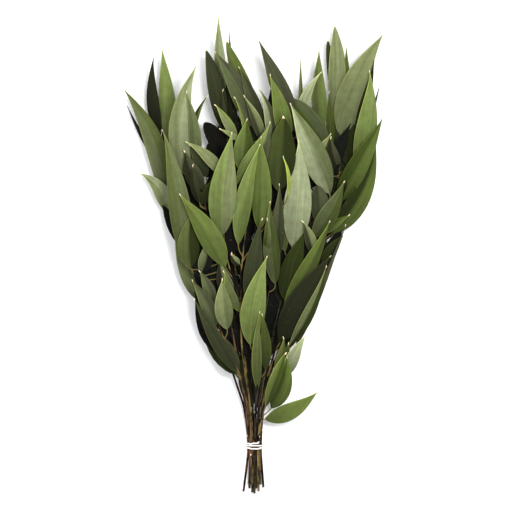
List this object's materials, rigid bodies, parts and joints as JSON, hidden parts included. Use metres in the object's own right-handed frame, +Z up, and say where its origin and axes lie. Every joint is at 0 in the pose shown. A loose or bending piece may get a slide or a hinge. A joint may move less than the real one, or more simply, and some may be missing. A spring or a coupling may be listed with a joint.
{
  "type": "tied bunch of preserved willow eucalyptus",
  "caption": "Bunch of slim brown stems with long pointed green leaves, tied near the cut ends with cream elastic and lying on its back; the leaves fan out widely above the tie.",
  "frame": {"origin": "on the surface that the bunch lies on, under the middle of its bounding box", "axes": "+Y along the stems from the cut ends to the leaf tips, +X to the right as seen from above with the tips away from the viewer, +Z up"},
  "size_m": [0.327, 0.6006, 0.1242],
  "materials": {
    "leaves": "preserved leaf, soft satin, olive to grey-green",
    "tie": "cream covered elastic, matt",
    "bark": "dull brown bark"
  },
  "bodies": {
    "root": {"stem_tall_left": "leaves", "stem_tall_right": "leaves", "stem_tall_centre_left": "leaves", "stem_tall_centre": "leaves", "stem_tall_centre_right": "leaves", "stem_mid_left": "leaves", "stem_mid_right": "leaves", "stem_mid_centre": "leaves", "stem_low_left": "leaves", "stem_low_right": "leaves", "stem_low_centre": "leaves", "stem_front_low": "leaves", "stem_back_centre": "leaves", "stem_back_left": "leaves", "stem_back_right": "leaves", "tie": "tie"}
  },
  "joints": []
}
